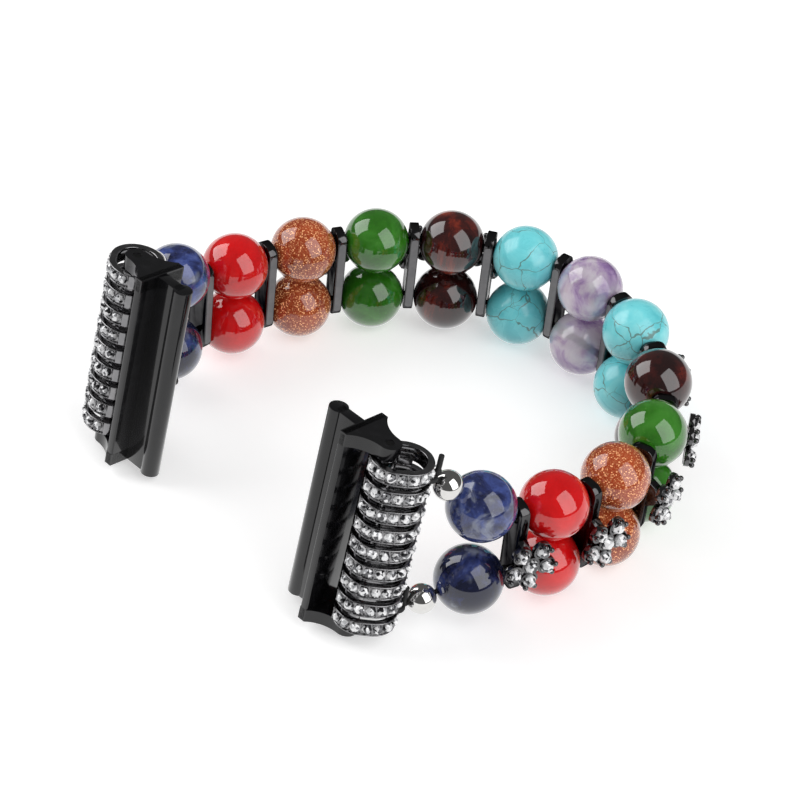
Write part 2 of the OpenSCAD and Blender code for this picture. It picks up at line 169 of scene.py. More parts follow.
def softbox(name, direction, distance, width, height, roll, level_white):
    """A rectangular lamp that faces the middle of the band."""
    back = Vector(direction).normalized()
    right = Vector((0, 0, 1)).cross(back).normalized()
    up = back.cross(right)
    turn = Matrix.Rotation(math.radians(roll), 3, back)
    data = bpy.data.lights.new(name, "AREA")
    data.shape = "RECTANGLE"
    data.size, data.size_y = width, height
    data.energy = level_white * math.pi * width * height
    return look(data, name, Vector((0, 0, 0.015)) + distance * back, turn @ right, turn @ up, back)


softbox("softbox_left", (-0.77, 0.24, 0.6), 0.62, 0.52, 0.5, 8, 2.6)
softbox("softbox_right", (0.64, -0.45, 0.62), 0.62, 0.54, 0.78, 0, 1.9)


# Shader maths

class Wire:
    """A value in a material: Python's operators on it add Math nodes."""

    def __init__(self, tree, socket=None):
        self.tree = tree
        self.socket = socket

    def node(self, kind, settings=None, sockets=None, out=0):
        """Adds any node: its settings first, then its sockets' values or links."""
        made = self.tree.nodes.new("ShaderNode" + kind)
        for key, value in (settings or {}).items():
            if key == "stops":
                ramp = made.color_ramp
                while len(ramp.elements) > 1:
                    ramp.elements.remove(ramp.elements[0])
                for index, (place, colour) in enumerate(value):
                    stop = ramp.elements[0] if index == 0 else ramp.elements.new(place)
                    stop.position = place
                    stop.color = (*colour, 1)
            else:
                setattr(made, key, value)
        for key, value in (sockets or {}).items():
            if isinstance(value, Wire):
                self.tree.links.new(value.socket, made.inputs[key])
            else:
                made.inputs[key].default_value = value
        return Wire(self.tree, made.outputs[out] if len(made.outputs) else None)

    def maths(self, operation, first, second):
        return self.node("Math", {"operation": operation}, {0: first, 1: second})

    def __add__(self, other):
        return self.maths("ADD", self, other)

    def __sub__(self, other):
        return self.maths("SUBTRACT", self, other)

    def __rsub__(self, other):
        return self.maths("SUBTRACT", other, self)

    def __mul__(self, other):
        return self.maths("MULTIPLY", self, other)

    def __truediv__(self, other):
        return self.maths("DIVIDE", self, other)

    def __rtruediv__(self, other):
        return self.maths("DIVIDE", other, self)

    def __lt__(self, other):
        return self.maths("LESS_THAN", self, other)

    __radd__ = __add__
    __rmul__ = __mul__

    def between(self, low, high):
        """0 below low, 1 above high, smooth in between."""
        return self.node(
            "MapRange",
            {"interpolation_type": "SMOOTHSTEP"},
            {"Value": self, "From Min": low, "From Max": high},
        )

    def mixed(self, first, second):
        """The colour first where this value is 0, and second where it is 1."""
        return self.node(
            "Mix", {"data_type": "RGBA"}, {0: self, 6: colour(first), 7: colour(second)}, 2
        )

    def smaller(self, other):
        return self.maths("MINIMUM", self, other)

    def larger(self, other):
        return self.maths("MAXIMUM", self, other)

    def ramp(self, *stops):
        """Colours at places from 0 to 1, read by this value."""
        return self.node("ValToRGB", {"stops": stops}, {"Fac": self})

    def bump(self, strength, distance):
        return self.node("Bump", None, {"Height": self, "Strength": strength, "Distance": distance})


def colour(value):
    """A wire as it is, or three numbers with a fourth for opacity."""
    return value if isinstance(value, Wire) else (*value, 1)


def start(name):
    """An empty material and a wire on its Object coordinates."""
    material = bpy.data.materials.new(name)
    material.use_nodes = True
    material.node_tree.nodes.clear()
    place = Wire(material.node_tree).node("TexCoord", out=3)
    return material, place


def spread(place, size, stretch=(1, 1, 1)):
    """The coordinates in steps of size metres."""
    return place.node("Mapping", None, {"Vector": place, "Scale": [s / size for s in stretch]})


def noise(place, size, detail=3.0, roughness=0.55, distortion=0.0, stretch=(1, 1, 1)):
    """Noise whose features are about size metres wide."""
    at = spread(place, size, stretch)
    sockets = {"Vector": at, "Scale": 1.0, "Detail": detail, "Roughness": roughness}
    return place.node("TexNoise", None, {**sockets, "Distortion": distortion})


def cells(place, size, feature="F1", out=0):
    """Cells about size metres wide."""
    sockets = {"Vector": spread(place, size), "Scale": 1.0, "Randomness": 1.0}
    return place.node("TexVoronoi", {"feature": feature}, sockets, out)


def warped(place, size, amount):
    """The coordinates pushed about by a noise, so that lines on them wander."""
    sockets = {"Vector": spread(place, size), "Scale": 1.0, "Detail": 3.0}
    push = place.node("TexNoise", None, sockets, 1)
    centred = place.node("VectorMath", {"operation": "SUBTRACT"}, {0: push, 1: (0.5, 0.5, 0.5)})
    scaled = place.node("VectorMath", {"operation": "SCALE"}, {0: centred, "Scale": amount})
    return place.node("VectorMath", {"operation": "ADD"}, {0: place, 1: scaled})


def done(material, place, **sockets):
    """Gives the material its shader; a socket's name has _ for each space."""
    values = {}
    for key, value in sockets.items():
        is_colour = isinstance(value, tuple) and key != "Subsurface_Radius"
        values[key.replace("_", " ")] = colour(value) if is_colour else value
    shader = place.node("BsdfPrincipled", None, values)
    place.node("OutputMaterial", None, {"Surface": shader})
    return material


# Stones

def sodalite(name, light):
    """Navy stone with mid blue clouds and white calcite veins; light is the share of pale blue, set
    higher for the upper row's copy and lower for the lower row's: painted light and shade.
    """
    material, place = start(name)
    wander = warped(place, 4 * MM, 2.2 * MM)
    clouds = noise(place, 3.2 * MM, 5, 0.62, 0.6)
    base = (clouds + light).ramp(
        (0.36, (0.008, 0.01, 0.034)), (0.5, (0.026, 0.036, 0.13)),
        (0.62, (0.055, 0.085, 0.29)), (0.78, (0.13, 0.17, 0.42)),
    )
    vein = 1 - cells(wander, 7.5 * MM, "DISTANCE_TO_EDGE").between(0.0, 0.09)
    patch = noise(place, 5 * MM, 4, 0.6, 1.2).between(0.56, 0.72)
    flecks = noise(place, 0.7 * MM, 3, 0.7).between(0.6, 0.75)
    pale = (vein * noise(place, 3 * MM).between(0.5, 0.7) * 0.4 + patch * (0.35 + light)
            + flecks * (0.15 + light))
    return done(
        material, place, Base_Color=pale.smaller(0.85).mixed(base, (0.42, 0.46, 0.54)),
        Roughness=0.05 + noise(place, 0.5 * MM) * 0.05,
        IOR=1.5, Coat_Weight=1.0, Coat_Roughness=0.03, Coat_IOR=1.5,
    )


def red_jade():
    """Saturated red dyed stone, faintly cloudy."""
    material, place = start("red_jade")
    clouds = noise(place, 4 * MM, 3, 0.5, 0.5)
    base = clouds.ramp(
        (0.3, (0.6, 0.004, 0.006)), (0.55, (0.74, 0.007, 0.009)), (0.8, (0.84, 0.02, 0.02))
    )
    return done(
        material, place, Base_Color=base, Roughness=0.05 + noise(place, 0.8 * MM) * 0.04, IOR=1.5,
        Subsurface_Weight=0.35, Subsurface_Radius=(0.9, 0.12, 0.1), Subsurface_Scale=0.003,
        Coat_Weight=1.0, Coat_Roughness=0.03, Coat_IOR=1.55,
    )


def goldstone():
    """Copper glass full of flakes; the picked flakes get a painted glint: a bright copper colour
    and a faint glow.
    """
    material, place = start("goldstone")
    clouds = noise(place, 5 * MM, 3, 0.5, 0.4)
    base = clouds.ramp(
        (0.3, (0.22, 0.024, 0.004)), (0.5, (0.36, 0.045, 0.01)), (0.75, (0.48, 0.075, 0.02))
    )
    flakes = cells(place, 0.22 * MM) < 0.46
    bright = cells(place, 0.22 * MM, "F1", 1)
    lit = bright.node("SeparateColor", None, {"Color": bright})
    # The picked flakes stand for flakes catching the light: painted glint.
    flakes_and_painted_glint = flakes * lit.between(0.45, 0.95)
    fine = (cells(place, 0.13 * MM) < 0.4) * 0.22
    return done(
        material, place, Base_Color=flakes_and_painted_glint.larger(fine).mixed(base, (1.0, 0.52, 0.24)),
        Metallic=flakes_and_painted_glint * 0.25, Roughness=0.08 + flakes_and_painted_glint * 0.3, IOR=1.5,
        # A glow on the picked flakes, though they are no lamp: painted glint.
        Emission_Color=flakes_and_painted_glint.mixed((0, 0, 0), (1.0, 0.45, 0.2)), Emission_Strength=0.35,
        Coat_Weight=1.0, Coat_Roughness=0.03, Coat_IOR=1.5,
    )


def green_jade():
    """Translucent deep green stone."""
    material, place = start("green_jade")
    clouds = noise(place, 4.5 * MM, 3, 0.5, 0.8)
    base = clouds.ramp(
        (0.3, (0.02, 0.12, 0.006)), (0.52, (0.034, 0.19, 0.012)), (0.78, (0.07, 0.29, 0.035))
    )
    specks = noise(place, 0.55 * MM, 2, 0.6).between(0.66, 0.78) * 0.25
    return done(
        material, place, Base_Color=specks.mixed(base, (0.2, 0.45, 0.12)),
        Roughness=0.05 + noise(place, 0.9 * MM) * 0.04, IOR=1.5,
        Subsurface_Weight=0.4, Subsurface_Radius=(0.35, 1.0, 0.25), Subsurface_Scale=0.003,
        Coat_Weight=1.0, Coat_Roughness=0.03, Coat_IOR=1.55,
    )


def tiger_eye():
    """Dark maroon stone with silky upright bands; the lighter red bands paint in its silky sheen.
    """
    material, place = start("tiger_eye")
    wander = warped(place, 6 * MM, 1.6 * MM)
    bands = noise(wander, 4.2 * MM, 2, 0.5, 0.0, (1, 1, 0.3))
    fibres = noise(wander, 0.5 * MM, 3, 0.6, 0.0, (1, 1, 0.06))
    # The stone's own bands, with their silky sheen painted in as lighter red: painted sheen.
    bands_and_painted_sheen = bands * 0.75 + fibres * 0.25
    base = bands_and_painted_sheen.ramp(
        (0.42, (0.018, 0.005, 0.005)), (0.54, (0.05, 0.008, 0.007)),
        (0.62, (0.14, 0.016, 0.009)), (0.72, (0.34, 0.05, 0.02)),
    )
    return done(
        material, place, Base_Color=base, Roughness=0.06 + fibres * 0.08, IOR=1.5,
        Coat_Weight=1.0, Coat_Roughness=0.03, Coat_IOR=1.6,
    )


def turquoise():
    """Bright sky blue stone crossed by thin brown cracks."""
    material, place = start("turquoise")
    clouds = noise(place, 4 * MM, 4, 0.55, 0.6)
    base = clouds.ramp(
        (0.3, (0.13, 0.65, 0.72)), (0.52, (0.21, 0.8, 0.86)), (0.75, (0.34, 0.9, 0.93))
    )
    wander = warped(place, 3.5 * MM, 2.6 * MM)
    edge = cells(wander, 6.2 * MM, "DISTANCE_TO_EDGE")
    width = noise(place, 2.4 * MM, 2).between(0.3, 0.75) * 0.02
    crack = 1 - (edge / (width + 0.004)).between(0.45, 1.0)
    fine_edge = cells(warped(place, 2 * MM, 1.6 * MM), 3.3 * MM, "DISTANCE_TO_EDGE")
    hair = 1 - fine_edge.between(0.0, 0.02)
    faint = hair * noise(place, 4 * MM, 2).between(0.56, 0.66) * 0.5
    mask = (crack * 0.75).larger(faint)
    return done(
        material, place, Base_Color=mask.mixed(base, (0.12, 0.17, 0.13)),
        Roughness=0.22 + clouds * 0.12 + mask * 0.3, IOR=1.5,
        Normal=(1 - mask).bump(0.35, 0.00008),
        Coat_Weight=0.6, Coat_Roughness=0.14, Coat_IOR=1.5,
    )


def amethyst():
    """Lilac quartz, part clear and part cloudy."""
    material, place = start("amethyst")
    wander = warped(place, 5 * MM, 2 * MM)
    zones = noise(wander, 5.5 * MM, 4, 0.55, 0.8)
    base = zones.ramp(
        (0.34, (0.33, 0.18, 0.46)), (0.45, (0.58, 0.42, 0.67)),
        (0.54, (0.78, 0.68, 0.8)), (0.7, (0.92, 0.87, 0.92)),
    )
    grit = noise(place, 0.6 * MM, 4, 0.7).between(0.56, 0.72)
    frost = grit * noise(place, 3 * MM).between(0.45, 0.6)
    return done(
        material, place, Base_Color=(frost * 0.55).mixed(base, (0.88, 0.82, 0.92)),
        Roughness=0.06 + frost * 0.15, IOR=1.5,
        Transmission_Weight=0.35, Subsurface_Weight=0.2, Subsurface_Radius=(1.0, 0.8, 1.0),
        Subsurface_Scale=0.002, Coat_Weight=1.0, Coat_Roughness=0.03, Coat_IOR=1.5,
    )


# Metals, clear stones and cord

def gunmetal(name, tone, polish, edge=1.0):
    """Black nickel plating, duller in patches; edge is how bright it is at a glancing angle."""
    material, place = start(name)
    dull = noise(place, 1.8 * MM, 4, 0.6).between(0.35, 0.75)
    base = dull.mixed((tone, tone, tone * 1.03), (tone * 1.35, tone * 1.32, tone * 1.35))
    return done(
        material, place, Base_Color=base, Metallic=1.0, Roughness=polish + dull * 0.14,
        Specular_Tint=(edge, edge, edge),
        Normal=noise(place, 0.35 * MM, 2).bump(0.1, 0.00004),
    )


def rhinestone():
    """Foil-backed clear glass: each small patch is painted as a bright or a dark facet, a painted
    reflection.
    """
    material, place = start("rhinestone")
    patch = cells(place, 0.5 * MM, "F1", 1)
    pick = patch.node("SeparateColor", None, {"Color": patch})
    # Bright and dark patches in the colour stand for facets catching or missing the light: painted
    # reflection.
    base = pick.ramp(
        (0.0, (0.03, 0.03, 0.035)), (0.28, (0.1, 0.1, 0.11)), (0.42, (0.6, 0.61, 0.63)),
        (0.6, (0.98, 0.98, 0.99)),
    )
    return done(
        material, place, Base_Color=base, Metallic=(1 - pick.between(0.2, 0.6)) * 0.6 + 0.1,
        Roughness=0.04 + pick * 0.06, IOR=1.55, Coat_Weight=1.0, Coat_Roughness=0.02, Coat_IOR=1.6,
    )


def chrome_ball():
    """Bright chrome with a few fine scratches."""
    material, place = start("chrome_ball")
    haze = noise(place, 0.8 * MM, 4, 0.6)
    return done(
        material, place, Base_Color=haze.mixed((0.8, 0.79, 0.77), (0.92, 0.91, 0.89)), Metallic=1.0,
        Roughness=0.03 + haze * 0.05,
    )


def black_adaptor():
    """Glossy black coated metal."""
    material, place = start("black_adaptor")
    wear = noise(place, 2.5 * MM, 4, 0.6).between(0.45, 0.8)
    return done(
        material, place, Base_Color=wear.mixed((0.006, 0.006, 0.007), (0.014, 0.014, 0.016)),
        Metallic=0.25, Roughness=0.14 + wear * 0.14, IOR=1.5,
        Normal=noise(place, 0.5 * MM, 2).bump(0.08, 0.00004), Coat_Weight=0.6, Coat_Roughness=0.06,
    )


def pin_steel():
    """Blackened steel, brushed along the pin."""
    material, place = start("pin_steel")
    streak = noise(place, 0.3 * MM, 3, 0.6, 0.0, (1, 1, 0.05))
    return done(
        material, place, Base_Color=streak.mixed((0.05, 0.05, 0.052), (0.1, 0.1, 0.1)),
        Metallic=1.0, Roughness=0.22 + streak * 0.2,
    )


def black_elastic():
    """Matt black elastic thread with a fine woven cover."""
    material, place = start("black_elastic")
    weave = cells(place, 0.16 * MM)
    return done(
        material, place, Base_Color=weave.mixed((0.018, 0.018, 0.019), (0.004, 0.004, 0.004)),
        Roughness=0.45 + weave * 0.3, Normal=(1 - weave).bump(0.6, 0.00006),
    )


finishes = {
    # The upper row's sodalite is paler and the lower row's darker: painted light and shade.
    "sodalite_painted_lit": sodalite("sodalite_painted_lit", 0.04),
    "sodalite_painted_shade": sodalite("sodalite_painted_shade", -0.1),
    "red_jade": red_jade(),
    "goldstone": goldstone(),
    "green_jade": green_jade(),
    "tiger_eye": tiger_eye(),
    "turquoise": turquoise(),
    "amethyst": amethyst(),
    "gunmetal": gunmetal("gunmetal", 0.27, 0.1),
    "gunmetal_charm": gunmetal("gunmetal_charm", 0.14, 0.05),
    # The bars' copy of the plating is darker, and dimmer at a glancing angle, than the cages':
    # painted shade between the beads.
    "gunmetal_painted_shade": gunmetal("gunmetal_painted_shade", 0.085, 0.07, 0.25),
    "gunmetal_satin": gunmetal("gunmetal_satin", 0.17, 0.32),
    "rhinestone": rhinestone(),
    "chrome_ball": chrome_ball(),
    "black_adaptor": black_adaptor(),
    "pin_steel": pin_steel(),
    "black_elastic": black_elastic(),
}


# Table and world

def ray_kinds(wire):
    """Three wires that are 1 for rays from the camera, from a reflection and through a stone."""
    path = wire.tree.nodes.new("ShaderNodeLightPath")
    names = ("Is Camera Ray", "Is Glossy Ray", "Is Transmission Ray")
    return [Wire(wire.tree, path.outputs[name]) for name in names]


def table_white():
    """White table that keeps a soft shadow near the band and turns plain white far away."""
    material = bpy.data.materials.new("table_white")
    material.use_nodes = True
    material.node_tree.nodes.clear()
    wire = Wire(material.node_tree)
    camera, glossy, through = ray_kinds(wire)
    place = wire.node("TexCoord", out=3)
    away = wire.node("VectorMath", {"operation": "LENGTH"}, {0: place}, 1).between(0.12, 0.6)
    lit = wire.node("BsdfDiffuse", None, {"Color": (0.8, 0.8, 0.8, 1)})
    strength = (0.37 + away * 0.35) * camera + 0.1
    own = wire.node("Emission", None, {"Color": (1, 1, 1, 1), "Strength": strength})
    seen = wire.node("Emission", None, {"Color": (1, 1, 1, 1), "Strength": 0.9})
    shaded = wire.node("AddShader", None, {0: lit, 1: own})
    both = wire.node("MixShader", None, {0: glossy.larger(through), 1: shaded, 2: seen})
    wire.node("OutputMaterial", None, {"Surface": both})
    return material


def deselect():
    """Back to object mode with nothing selected."""
    if bpy.context.object and bpy.context.object.mode != "OBJECT":
        bpy.ops.object.mode_set(mode="OBJECT")
    bpy.ops.object.select_all(action="DESELECT")


deselect()
bpy.ops.mesh.primitive_plane_add(size=6, location=(0, 0, 0))
table = bpy.context.active_object
table.name = "table"
table.data.materials.append(table_white())

world = bpy.data.worlds.new("studio")
world.use_nodes = True
world.node_tree.nodes.clear()
sky = Wire(world.node_tree)
camera_ray, glossy_ray, through_ray = ray_kinds(sky)
strength = 0.36 + camera_ray * 0.64 + through_ray * 0.5 - glossy_ray * 0.27
backdrop = sky.node("Background", None, {"Color": (1, 1, 1, 1), "Strength": strength})
sky.node("OutputWorld", None, {"Surface": backdrop})
bpy.context.scene.world = world
bpy.context.scene.view_settings.view_transform = "Standard"


# Modelling helpers

def newest(name):
    """Names the object that was just added."""
    piece = bpy.context.active_object
    piece.name = name
    piece.data.name = name
    return piece


def pick(piece, part, wanted):
    """Opens a piece in edit mode with the points, edges or faces that pass a test picked."""
    bpy.context.view_layer.objects.active = piece
    if piece.mode != "OBJECT":
        bpy.ops.object.mode_set(mode="OBJECT")
    mesh = piece.data
    points = mesh.vertices
    for group in (points, mesh.edges, mesh.polygons):
        group.foreach_set("select", [False] * len(group))
    if part == "VERT":
        for point in points:
            point.select = bool(wanted(point.co))
    elif part == "EDGE":
        for edge in mesh.edges:
            a, b = (points[i].co for i in edge.vertices)
            edge.select = bool(wanted(a, b))
    else:
        for face in mesh.polygons:
            face.select = bool(wanted(face.center, face.normal))
    bpy.context.tool_settings.mesh_select_mode = (part == "VERT", part == "EDGE", part == "FACE")
    bpy.ops.object.mode_set(mode="EDIT")


def finished(piece, angle=35):
    """Merges doubles, turns faces outward and smooths all but the sharp edges."""
    bpy.context.view_layer.objects.active = piece
    if piece.mode != "EDIT":
        bpy.ops.object.mode_set(mode="EDIT")
    bpy.ops.mesh.select_all(action="SELECT")
    bpy.ops.mesh.remove_doubles(threshold=1e-7)
    bpy.ops.mesh.normals_make_consistent(inside=False)
    bpy.ops.object.mode_set(mode="OBJECT")
    bpy.ops.object.select_all(action="DESELECT")
    piece.select_set(True)
    bpy.ops.object.shade_smooth_by_angle(angle=math.radians(angle))
    return piece


def rounded(piece, width, segments=2, angle=40):
    """Bevels every sharp edge."""
    if piece.mode != "OBJECT":
        bpy.ops.object.mode_set(mode="OBJECT")
    bpy.context.view_layer.objects.active = piece
    edge = piece.modifiers.new("edge", "BEVEL")
    edge.width = width
    edge.segments = segments
    edge.limit_method = "ANGLE"
    edge.angle_limit = math.radians(angle)
    bpy.ops.object.modifier_apply(modifier=edge.name)
    return piece


def copied(piece, name, place):
    """A copy with its own mesh, put at a place in its mesh."""
    made = bpy.data.objects.new(name, piece.data.copy())
    made.data.name = name
    bpy.context.scene.collection.objects.link(made)
    made.data.transform(place)
    return made


def joined(pieces, name):
    """One piece made of several."""
    deselect()
    for piece in pieces:
        piece.select_set(True)
    bpy.context.view_layer.objects.active = pieces[0]
    bpy.ops.object.join()
    return newest(name)


def removed(*pieces):
    """Takes pieces out of the scene."""
    for piece in pieces:
        bpy.data.objects.remove(piece)


def dressed(piece, finish, slot, body, *nodes):
    """Gives a finished piece its material and body, and hides the solids that it stands for; slot
    is not used.
    """
    piece.data.materials.clear()
    piece.data.materials.append(finishes[finish])
    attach(piece, body)
    if nodes:
        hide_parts(*nodes)
    return piece


def turn_z(degrees):
    """A turn about the upright axis."""
    return Matrix.Rotation(math.radians(degrees), 4, "Z")


def along(place, direction):
    """The place and turn that put Z along a direction."""
    turn = Vector(direction).to_track_quat("Z", "Y").to_matrix().to_4x4()
    return Matrix.Translation(place) @ turn


def drum(name, vertices, radius, height, middle=(0, 0, 0)):
    """An upright round blank."""
    deselect()
    bpy.ops.mesh.primitive_cylinder_add(
        vertices=vertices, radius=radius, depth=height, location=middle
    )
    piece = newest(name)
    bpy.ops.object.transform_apply(location=True, rotation=False, scale=False)
    return piece


def rod(name, radius, length, place, axis, vertices):
    """A round bar along any axis."""
    deselect()
    bpy.ops.mesh.primitive_cylinder_add(vertices=vertices, radius=radius, depth=length)
    piece = newest(name)
    piece.data.transform(along(place, axis))
    return piece


def cut_by(piece, cutter, operation="DIFFERENCE"):
    """Cuts a piece with another one, or joins the two where they meet."""
    change = piece.modifiers.new("change", "BOOLEAN")
    change.object = cutter
    change.operation = operation
    change.solver = "EXACT"
    bpy.context.view_layer.objects.active = piece
    bpy.ops.object.modifier_apply(modifier=change.name)
    removed(cutter)
    return piece


def plate(name, size, place=(0, 0, 0)):
    """A rectangular plate."""
    deselect()
    bpy.ops.mesh.primitive_cube_add(size=1, location=place)
    piece = newest(name)
    piece.scale = size
    bpy.ops.object.transform_apply(location=True, rotation=False, scale=True)
    return piece


# Beads and balls

def bored_ball(name, radius, bore, segments, rings):
    """A polished ball with a bore along Z and softened rims."""
    deselect()
    bpy.ops.mesh.primitive_uv_sphere_add(segments=segments, ring_count=rings, radius=radius)
    ball = newest(name)
    half = math.sqrt(radius ** 2 - bore ** 2)
    for side in (-1, 1):
        pick(ball, "FACE", lambda centre, normal: True)
        bpy.ops.mesh.bisect(
            plane_co=(0, 0, side * half), plane_no=(0, 0, side), clear_outer=True
        )

    def rim(a, b):
        return abs(abs(a.z) - half) < 1e-7 and abs(a.z - b.z) < 1e-7

    pick(ball, "EDGE", rim)
    bpy.ops.mesh.bridge_edge_loops()
    pick(ball, "EDGE", lambda a, b: rim(a, b) and a.to_2d().length < bore * 1.02)
    bpy.ops.mesh.bevel(offset=0.12 * MM, segments=2, affect="EDGES")
    return finished(ball)


bead_master = bored_ball("bead_master", BEAD_R, BEAD_BORE_R, 64, 40)
ball_master = bored_ball("ball_master", BALL_R, BALL_BORE_R, 48, 28)

rows = {"upper": 1, "lower": -1}
for row in rows:
    for column in range(1, COLUMNS + 1):
        node = f"{row}_bead_{column}"
        spin = joints[node + "_spin"]
        stone = STONES[column - 1]
        # Sodalite takes its paler copy in the upper row and its darker copy in the lower row:
        # painted light and shade.
        finish = stone if stone != "sodalite" else (
            "sodalite_painted_lit" if row == "upper" else "sodalite_painted_shade"
        )
        bead = copied(bead_master, f"polished_{node}", along(spin["pos_m"], spin["axis"]))
        dressed(bead, finish, STONE_SLOTS[stone], node, node)
    for end in ("back", "front"):
        node = f"{row}_ball_{end}"
        spin = joints[node + "_spin"]
        ball = copied(ball_master, f"polished_{node}", along(spin["pos_m"], spin["axis"]))
        dressed(ball, "chrome_ball", "chrome_ball", node, node)
removed(bead_master, ball_master)


# Clear stones

def cut_stone(name, radius, seat, height):
    """An eight-sided stone: a short girdle, and a crown of triangles up to its flat top."""
    girdle = seat + height * GIRDLE
    stone = drum(name, 8, radius, girdle, (0, 0, girdle / 2))
    pick(stone, "FACE", lambda centre, normal: normal.z > 0.9)
    bpy.ops.mesh.extrude_region_move(TRANSFORM_OT_translate={"value": (0, 0, height * CROWN)})
    bpy.ops.transform.resize(value=(FLAT_TOP, FLAT_TOP, 1), center_override=(0, 0, girdle))
    bpy.ops.transform.rotate(
        value=math.radians(22.5), orient_axis="Z", center_override=(0, 0, girdle)
    )
    pick(stone, "FACE", lambda centre, normal: 0.05 < normal.z < 0.95)
    bpy.ops.mesh.quads_convert_to_tris()
    bpy.ops.object.mode_set(mode="OBJECT")
    return stone


# Spacer castings

def spacer_bar():
    """The two-hole bar, rounded at its ends and softened along every edge."""
    bar = plate("bar", (BAR_T, BAR_DEPTH, BAR_HEIGHT))
    pick(bar, "EDGE", lambda a, b: abs(a.x - b.x) > BAR_T * 0.9)
    bpy.ops.mesh.bevel(offset=BAR_ROUND, segments=6, affect="EDGES")
    bpy.ops.object.mode_set(mode="OBJECT")
    for side in (-1, 1):
        middle = (0, 0, side * ROW_PITCH / 2)
        cut_by(bar, rod("drill", HOLE_R, BAR_T * 2, middle, (1, 0, 0), 24))
    return rounded(bar, 0.12 * MM)


def bar_facing():
    """The satin strip on a bar's wrist side, with round ends."""
    size = (BAR_T - 0.3 * MM, 0.1 * MM, BAR_HEIGHT - 2.4 * MM)
    strip = plate("strip", size, (0, -BAR_DEPTH / 2, 0))
    pick(strip, "EDGE", lambda a, b: abs(a.y - b.y) > 0.05 * MM)
    bpy.ops.mesh.bevel(offset=BAR_T / 2 - 0.2 * MM, segments=5, affect="EDGES")
    return finished(rounded(strip, 0.02 * MM, 1))


def charm_web():
    """The tapered web from the bar to the charm."""
    lap = 0.05 * MM
    middle = (0, BAR_DEPTH / 2 + CHARM_STEM / 2, 0)
    web = plate("web", (BAR_T, CHARM_STEM + 2 * lap, CHARM_WEB_ROOT), middle)
    pick(web, "FACE", lambda centre, normal: normal.y > 0.9)
    bpy.ops.transform.resize(value=(1, 1, CHARM_WEB_TIP / CHARM_WEB_ROOT))
    return rounded(web, 0.1 * MM)


def petal_cup():
    """A bezel cup with its seat for one stone."""
    cup = drum("cup", 24, CHARM_STONE_R + PETAL_RIM, CHARM_T, (0, 0, CHARM_T / 2))
    pick(cup, "FACE", lambda centre, normal: normal.z > 0.9)
    bpy.ops.mesh.inset(thickness=PETAL_RIM - 0.05 * MM)
    bpy.ops.mesh.extrude_region_move(TRANSFORM_OT_translate={"value": (0, 0, -CHARM_T / 2)})
    return rounded(cup, 0.09 * MM)


def bent_claw():
    """A claw that rises beside a stone and ends in a round tip over its edge."""
    tall = CHARM_T + CHARM_STONE_H / 2
    claw = drum("claw", 10, CLAW_R, tall, (0, 0, tall / 2))
    pick(claw, "FACE", lambda centre, normal: normal.z > 0.9)
    bpy.ops.transform.translate(value=(-0.1 * MM, 0, 0))
    bpy.ops.object.mode_set(mode="OBJECT")
    deselect()
    bpy.ops.mesh.primitive_uv_sphere_add(
        segments=12, ring_count=8, radius=CLAW_TIP_R, location=(-0.08 * MM, 0, tall)
    )
    tip = newest("tip")
    bpy.ops.object.transform_apply(location=True, rotation=False, scale=False)
    return joined([claw, tip], "claw")


petal_turns = [90 + k * 360 / PETALS for k in range(PETALS)]
on_charm = (
    Matrix.Translation((0, BAR_DEPTH / 2 + CHARM_STEM, 0)) @ Matrix.Rotation(-math.pi / 2, 4, "X")
)


def petal_place(turn):
    """The middle of a petal, with X away from the charm's middle."""
    return turn_z(turn) @ Matrix.Translation((PETAL_RING, 0, 0))


def charm_master():
    """The cups and claws of a charm in its casting's frame: X along the cord, Y outward."""
    cup, claw = petal_cup(), bent_claw()
    parts = [copied(cup, "cup_middle", on_charm)]
    for turn in petal_turns:
        parts.append(copied(cup, "cup_petal", on_charm @ petal_place(turn)))
        for angle in (-CLAW_ANGLE, CLAW_ANGLE):
            reach = Matrix.Translation((CHARM_STONE_R + PETAL_RIM / 2, 0, 0))
            parts.append(
                copied(claw, "claw_petal", on_charm @ petal_place(turn) @ turn_z(angle) @ reach)
            )
    removed(cup, claw)
    return finished(joined(parts, "charm_master"))


def charm_stones_master():
    """The six stones of a charm, in the same frame."""
    stone = cut_stone("stone", CHARM_STONE_R, CHARM_T / 2, CHARM_STONE_H)
    lift = Matrix.Translation((0, 0, CHARM_T / 2))
    parts = [copied(stone, "stone_middle", on_charm @ lift)]
    for turn in petal_turns:
        parts.append(copied(stone, "stone_petal", on_charm @ petal_place(turn) @ lift))
    removed(stone)
    return joined(parts, "charm_stones_master")


def column_heading(column):
    """The turn of a column's cord, out from the middle column."""
    if column >= MIDDLE:
        return ROOT_HEADING - sum(BENDS[MIDDLE - 1:column - 1])
    return ROOT_HEADING + sum(BENDS[column - 1:MIDDLE - 1])


bar_and_web = finished(joined([spacer_bar(), charm_web()], "bar_and_web"))
facing = bar_facing()
charm, charm_stones = charm_master(), charm_stones_master()
for number in range(1, SPACERS + 1):
    node = f"spacer_{number}"
    heading = (column_heading(number) + column_heading(number + 1)) / 2
    place = Matrix.Translation(joints[node + "_bend"]["pos_m"]) @ turn_z(heading)
    # The bars take the darker copy of the plating: painted shade.
    dressed(copied(bar_and_web, f"bar_{number}", place), "gunmetal_painted_shade", "gunmetal", node, node)
    dressed(copied(facing, f"bar_facing_{number}", place), "gunmetal_satin", "gunmetal", node)
    dressed(copied(charm, f"charm_{number}", place), "gunmetal_charm", "gunmetal", node)
    dressed(copied(charm_stones, f"charm_stones_{number}", place), "rhinestone", "rhinestone", node)
removed(bar_and_web, facing, charm, charm_stones)


# End cages

ends = {"front": 1, "back": -1}


